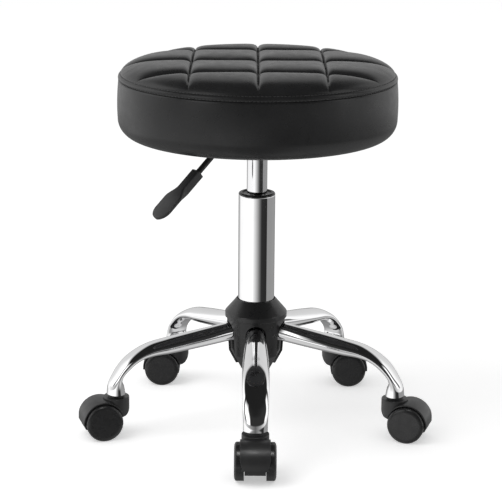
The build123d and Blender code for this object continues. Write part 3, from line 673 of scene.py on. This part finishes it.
def seamGroove(x, y):
    # Depth of the sewn line: a narrow notch along each seam that fades at the rim.
    notch = np.clip(1 - fromThread(x, y) / quilt["grooveHalf"], 0, 1)
    return quilt["groove"] * notch * (1 - outShare(x, y) ** quilt["grooveFade"])


def gatheredLines(pitch):
    # Places of grid lines across the seat, which gather towards the seams.
    share = np.linspace(0, 1, quilt["lines"])
    even, gather = quilt["innerGather"]
    inner = pitch * (even * share + gather * (0.5 - 0.5 * np.cos(np.pi * share)))
    even, gather = quilt["outerGather"]
    outer = pitch + (quilt["rim"] - pitch) * (even * share + gather * share ** 2)
    line = np.concatenate([inner, outer[1:]])
    return np.concatenate([-line[:0:-1], line])


def quiltShell():
    # Points in plan: the gathered lines, rings near the rim, and rows beside the seams there. The rim goes on
    # down in a hidden skirt that closes below.
    x, y = (a.ravel() for a in np.meshgrid(*map(gatheredLines, quilt["pitch"])))
    rings = quilt["rim"] - np.array(quilt["ringInsets"])
    flat = np.stack([x, y], -1)[np.hypot(x, y) < rings[-1] - quilt["ringClear"]]
    angle = circle(quilt["columns"])
    hoops = np.stack([rings[:, None] * np.cos(angle), rings[:, None] * np.sin(angle)], -1).reshape(-1, 2)
    beside = np.linspace(-1, 1, quilt["seamRows"]) * quilt["grooveHalf"]
    seams = []
    for axis, pitch in enumerate(quilt["pitch"]):
        offsets = np.add.outer([-pitch, 0, pitch], beside).reshape(-1, 1)
        along = np.sqrt(rings[1:] ** 2 - offsets ** 2)
        along = np.concatenate([along, -along], 1)
        seams.append(np.roll(np.stack([offsets + 0 * along, along], -1), axis, -1).reshape(-1, 2))
    plan = [Vector(p) for p in np.concatenate([flat, hoops, *seams]).tolist()]
    wholeHull = 0
    corners, _, triangles, *_ = delaunay_2d_cdt(plan, [], [], wholeHull, quilt["merge"])
    plan = np.array([tuple(c) for c in corners])
    points = np.column_stack([plan, quiltHeight(*plan.T)])
    # The rim's points in order round the seat: the inner points sort last and are cut off.
    inner = np.hypot(*plan.T) < quilt["rim"] - quilt["rimSlack"]
    edge = np.argsort(np.where(inner, np.inf, np.arctan2(plan[:, 1], plan[:, 0])))[:len(angle)]
    hem = np.column_stack([plan[edge] * quilt["hem"] / quilt["rim"], np.full(len(edge), quilt["skirt"])])
    here, there = np.arange(len(edge)), np.roll(np.arange(len(edge)), -1)
    skirt = np.stack([edge[here], edge[there], len(plan) + there, len(plan) + here], -1).tolist()
    bottom = [(len(plan) + here[::-1]).tolist()]
    return np.concatenate([points, hem]), [list(t) for t in triangles] + skirt + bottom


def sideOutline():
    # Half section of the side band: the puffed strip between two grooves, the barrelled side, the round foot,
    # and the hem turned in under the seat.
    shoulderOut, shoulderRound = band["shoulder"]
    strip = rounded([
        (quilt["hem"], quilt["skirt"] + band["tuck"], 0),
        upperSeam + band["upperGroove"],
        upperSeam + band["upperEdge"],
        (upperSeam + lowerSeam) / 2 + band["puff"],
        lowerSeam + band["lowerEdge"],
        lowerSeam + band["lowerGroove"],
        (lowerSeam[0] + shoulderOut, band["top"], shoulderRound)], band["stripSteps"])
    knee = band["foot"] + band["footRound"]
    z = np.linspace(band["top"] - band["lap"], knee, band["sideRows"])
    side = np.stack([band["belly"] - band["draw"] * (z - band["bellyHeight"]) ** 2, z], -1)
    turn = np.linspace(0, np.pi / 2, band["footRows"])[1:]
    foot = np.stack([side[-1, 0] - band["footRound"] * (1 - np.cos(turn)),
                     knee - band["footRound"] * np.sin(turn)], -1)
    inside = np.array([(band["hem"], band["foot"]), (band["hem"], band["turnUp"]),
                       (foot[-1, 0], band["turnUp"]), (side[-1, 0] - band["wall"], knee)])
    return np.concatenate([strip, side, foot, inside])


def stitchShell(radius, height, tilt):
    # Short round threads laid end to end round the rim, each end dipping into the seam.
    turn = circle(stitch["sides"])
    along = np.array(stitch["along"]) * stitch["length"]
    girth = stitch["thick"] * np.array(stitch["girth"])[:, None]
    dip = stitch["thick"] * np.array(stitch["dip"])[:, None]
    out = girth * np.cos(turn) + dip
    over = girth * np.sin(turn)
    c, s = np.cos(np.radians(tilt)), np.sin(np.radians(tilt))
    angle = circle(stitch["count"])[:, None, None] + along[:, None] / radius
    r = radius + out * c - over * s
    points = np.stack([r * np.cos(angle), r * np.sin(angle), height + out * s + over * c + 0 * angle], -1)
    each = tube(points[0])[1]
    size = len(along) * len(turn)
    faces = [[v + k * size for v in face] for k in range(stitch["count"]) for face in each]
    return points.reshape(-1, 3), faces


def sewn(points):
    # The points that the thread and the rim hold down.
    x, y, z = points.T
    threaded = fromThread(x, y) < quilt["threadHold"]
    return threaded | (np.hypot(x, y) > quilt["rim"] - quilt["rimHold"]) | (z < quilt["rimHeight"])


def puffUp(piece):
    # A cloth run: air pressure lifts the cover, the sewn points stay, and no point moves beyond the cap.
    scene = bpy.context.scene
    start = meshPoints(piece.data)
    group = piece.vertex_groups.new(name="held")
    group.add(np.flatnonzero(sewn(start / mm)).tolist(), 1.0, "REPLACE")
    cloth = piece.modifiers.new("puff", "CLOTH")
    cloth.settings.vertex_group_mass = "held"
    cloth.settings.quality = air["quality"]
    cloth.settings.use_pressure = True
    cloth.settings.uniform_pressure_force = air["pressure"]
    cloth.settings.effector_weights.gravity = 0.0
    cloth.point_cache.frame_end = air["frames"]
    for step in range(1, air["frames"] + 1):
        scene.frame_set(step)
    puffed = piece.evaluated_get(bpy.context.evaluated_depsgraph_get())
    move = meshPoints(puffed.data) - start
    cap = air["cap"] * mm
    move *= (cap / np.maximum(np.linalg.norm(move, axis=1), cap))[:, None]
    piece.modifiers.remove(cloth)
    piece.vertex_groups.remove(group)
    scene.frame_set(1)
    setPoints(piece.data, start + move)
    print("cloth run: moved up to", round(float(np.linalg.norm(move, axis=1).max() / mm), 2), "mm")


def sewGrooves(piece):
    # The top's points go down by the depth of the sewn line.
    points = meshPoints(piece.data)
    onTop = points[:, 2] > quilt["rimHeight"] * mm
    points[:, 2] -= seamGroove(points[:, 0] / mm, points[:, 1] / mm) * onTop * mm
    setPoints(piece.data, points)


quiltTop = makePiece("seatQuilt", [quiltShell()], "seat", ["seat_top_panel", "seat_foam"],
                     "seat_leather", sharp=70)
puffUp(quiltTop)
sewGrooves(quiltTop)
sideShell = lathe(sideOutline(), band["columns"])
sideBand = makePiece("seatSideBand", [sideShell], "seat", ["seat_side_band"], "seat_leather", sharp=60)
stitchRows = [stitchShell(*(upperSeam + stitch["upper"])), stitchShell(*(lowerSeam + stitch["lower"]))]
makePiece("rimStitches", stitchRows, "seat", [], "seat_leather", sharp=60, finish=threadFinish)

dustCloth = dict(inner=70.4, outer=149.8, top=407.9, thick=0.6, sag=0.9, tucks=28, tuck=0.15,
                 rows=26, columns=224)


def clothShell():
    # A ring of cloth stapled along both edges: it sags between them on a half wave, with small tucks round
    # the edge.
    share = np.linspace(0, 1, dustCloth["rows"])[:, None]
    around = circle(dustCloth["columns"])
    radius = dustCloth["inner"] + (dustCloth["outer"] - dustCloth["inner"]) * share
    tucks = dustCloth["tuck"] * share ** 3 * (1 + np.cos(dustCloth["tucks"] * around))
    sag = dustCloth["sag"] * np.sin(np.pi * share) + tucks
    under = dustCloth["top"] - dustCloth["thick"] - sag
    upper = under + dustCloth["thick"]
    radius = np.concatenate([radius, radius[::-1]])
    height = np.concatenate([under, upper[::-1]])
    points = np.stack([radius * np.cos(around), radius * np.sin(around), height], -1)
    return points.reshape(-1, 3), gridFaces(len(radius), len(around), closeRows=True)


dustSheet = makePiece("dustCloth", [clothShell()], "seat", ["dust_cover"], "dust_fabric", sharp=60)
print("seat")


# Studio: white paper underfoot, rings of greys for the plating to mirror, two lamps and the camera

studio = dict(floorHalf=14.0, paper=0.95, paperRoughness=0.9, lift=0.42, ambient=0.6, mirrored=1.5)

# The paper is lifted a little for the camera and isn't mirrored: the ground ring stands in for it.
floorMesh = bpy.data.meshes.new("studioFloor")
half = studio["floorHalf"]
floorCorners = [(-half, -half, 0), (half, -half, 0), (half, half, 0), (-half, half, 0)]
floorMesh.from_pydata(floorCorners, [], [(0, 1, 2, 3)])
floor = bpy.data.objects.new("studioFloor", floorMesh)
bpy.context.scene.collection.objects.link(floor)
paper, tree, shader = newFinish("studioPaper", (studio["paper"],) * 3, studio["paperRoughness"])
shader.inputs["Specular IOR Level"].default_value = 0.0
shader.inputs["Emission Color"].default_value = (1, 1, 1, 1)
path = tree.nodes.new("ShaderNodeLightPath")
lift = tree.nodes.new("ShaderNodeMath")
lift.operation = "MULTIPLY"
lift.inputs[1].default_value = studio["lift"]
tree.links.new(path.outputs["Is Camera Ray"], lift.inputs[0])
tree.links.new(lift.outputs["Value"], shader.inputs["Emission Strength"])
clear = tree.nodes.new("ShaderNodeBsdfTransparent")
mix = tree.nodes.new("ShaderNodeMixShader")
tree.links.new(path.outputs["Is Glossy Ray"], mix.inputs["Fac"])
tree.links.new(shader.outputs["BSDF"], mix.inputs[1])
tree.links.new(clear.outputs["BSDF"], mix.inputs[2])
tree.links.new(mix.outputs["Shader"], tree.nodes["Material Output"].inputs["Surface"])
floorMesh.materials.append(paper)

world = bpy.data.worlds.new("studio")
bpy.context.scene.world = world
world.use_nodes = True
tree = world.node_tree
ambient = tree.nodes["Background"]
ambient.inputs["Color"].default_value = (1, 1, 1, 1)
ambient.inputs["Strength"].default_value = studio["ambient"]

# Greys round the stool that the plating mirrors, ring above ring. Stops go by share of a turn from behind,
# round by the left, front and right.
rings = dict(
    ground=[(0.0, 0.14), (0.1, 0.22), (0.25, 0.45), (0.36, 0.42), (0.45, 0.2), (0.55, 0.2), (0.64, 0.42),
            (0.75, 0.45), (0.9, 0.22), (1.0, 0.14)],
    lower=[(0.0, 0.14), (0.1, 0.26), (0.17, 0.7), (0.43, 0.8), (0.455, 0.6), (0.5, 0.36), (0.55, 0.12),
           (0.586, 0.02), (0.688, 0.015), (0.69, 0.2), (0.88, 0.22), (1.0, 0.14)],
    upper=[(0.0, 0.25), (0.1, 0.56), (0.16, 0.74), (0.3, 0.46), (0.4, 0.22), (0.5, 0.08), (0.6, 0.26),
           (0.7, 0.55), (0.8, 0.7), (0.9, 0.5), (1.0, 0.25)],
    above=[(0.0, 0.42), (0.12, 0.5), (0.2, 0.9), (0.27, 1.0), (0.285, 0.06), (0.315, 0.06), (0.33, 1.0),
           (0.39, 1.0), (0.41, 0.02), (0.67, 0.02), (0.69, 0.9), (0.74, 0.9), (0.755, 0.06), (0.785, 0.06),
           (0.8, 0.8), (0.88, 0.5), (1.0, 0.42)],
    ceiling=[(0.0, 0.01), (1.0, 0.01)])
# Where each ring takes over from the one below, by share of the way from straight down to straight up
ringStarts = dict(lower=(0.26, 0.33), upper=(0.4, 0.415), above=(0.5, 0.54), ceiling=(0.8, 0.86))


def worldMath(operation, first, second):
    node = tree.nodes.new("ShaderNodeMath")
    node.operation = operation
    for socket, value in zip(node.inputs, (first, second)):
        if isinstance(value, (int, float)):
            socket.default_value = value
        else:
            tree.links.new(value, socket)
    return node.outputs["Value"]


def worldMix(factor, first, second):
    node = tree.nodes.new("ShaderNodeMix")
    node.data_type = "RGBA"
    colors = [socket for socket in node.inputs if socket.type == "RGBA"]
    for socket, value in zip([node.inputs["Factor"], *colors], (factor, first, second)):
        tree.links.new(value, socket)
    return [socket for socket in node.outputs if socket.type == "RGBA"][0]


where = tree.nodes.new("ShaderNodeTexCoord")
axes = tree.nodes.new("ShaderNodeSeparateXYZ")
tree.links.new(where.outputs["Generated"], axes.inputs["Vector"])
bearing = worldMath("ARCTAN2", axes.outputs["X"], worldMath("MULTIPLY", axes.outputs["Y"], -1.0))
turnShare = worldMath("ADD", worldMath("DIVIDE", bearing, 2 * np.pi), 0.5)
rise = worldMath("ADD", worldMath("MULTIPLY", axes.outputs["Z"], 0.5), 0.5)
surround = ramp(tree, turnShare, rings["ground"])
for name, (start, end) in ringStarts.items():
    taken = ramp(tree, rise, [(0.0, 0.0), (start, 0.0), (end, 1.0), (1.0, 1.0)])
    surround = worldMix(taken, surround, ramp(tree, turnShare, rings[name]))
mirrored = tree.nodes.new("ShaderNodeBackground")
tree.links.new(surround, mirrored.inputs["Color"])
mirrored.inputs["Strength"].default_value = studio["mirrored"]
seen = tree.nodes.new("ShaderNodeBackground")
seen.inputs["Color"].default_value = (1, 1, 1, 1)
path = tree.nodes.new("ShaderNodeLightPath")
glossyMix = tree.nodes.new("ShaderNodeMixShader")
cameraMix = tree.nodes.new("ShaderNodeMixShader")
tree.links.new(path.outputs["Is Glossy Ray"], glossyMix.inputs["Fac"])
tree.links.new(ambient.outputs["Background"], glossyMix.inputs[1])
tree.links.new(mirrored.outputs["Background"], glossyMix.inputs[2])
tree.links.new(path.outputs["Is Camera Ray"], cameraMix.inputs["Fac"])
tree.links.new(glossyMix.outputs["Shader"], cameraMix.inputs[1])
tree.links.new(seen.outputs["Background"], cameraMix.inputs[2])
tree.links.new(cameraMix.outputs["Shader"], tree.nodes["World Output"].inputs["Surface"])


def softBox(name, spot, aim, size, power):
    # A square lamp at a spot, turned to face its aim.
    light = bpy.data.lights.new(name, "AREA")
    light.size = size
    light.energy = power
    lamp = bpy.data.objects.new(name, light)
    lamp.location = spot
    lamp.rotation_euler = (Vector(aim) - Vector(spot)).to_track_quat("-Z", "Y").to_euler()
    bpy.context.scene.collection.objects.link(lamp)
    return lamp


# The key light gives shade and shadow but isn't mirrored. The top light gives only gloss, on the casters and
# the lever's paddle.
keyLight = softBox("keyLight", spot=(-1.4, -0.6, 2.2), aim=(0, 0, 0.3), size=1.6, power=18.0)
keyLight.visible_glossy = False
topLight = softBox("topLight", spot=(0, -1.2, 2.6), aim=(0, 0, 0.05), size=0.7, power=15.0)
topLight.visible_diffuse = False
plastics = bpy.data.collections.new("plastics")
for piece in bpy.data.objects:
    if piece.name.startswith(("casterHood", "casterWheel", "leverPaddle")):
        plastics.objects.link(piece)
topLight.light_linking.receiver_collection = plastics

photo = dict(spot=(-0.0075, -2.277, 0.857), tilt=74.94, roll=0.44, lens=123.3, sensor=36.0)
view = bpy.data.cameras.new("photoCamera")
view.sensor_width = photo["sensor"]
view.lens = photo["lens"]
camera = bpy.data.objects.new("photoCamera", view)
camera.location = photo["spot"]
aim = Matrix.Rotation(np.radians(photo["tilt"]), 3, "X") @ Matrix.Rotation(np.radians(photo["roll"]), 3, "Z")
camera.rotation_euler = aim.to_euler()
bpy.context.scene.collection.objects.link(camera)
bpy.context.scene.camera = camera
bpy.context.scene.view_settings.view_transform = "Standard"
print("studio")
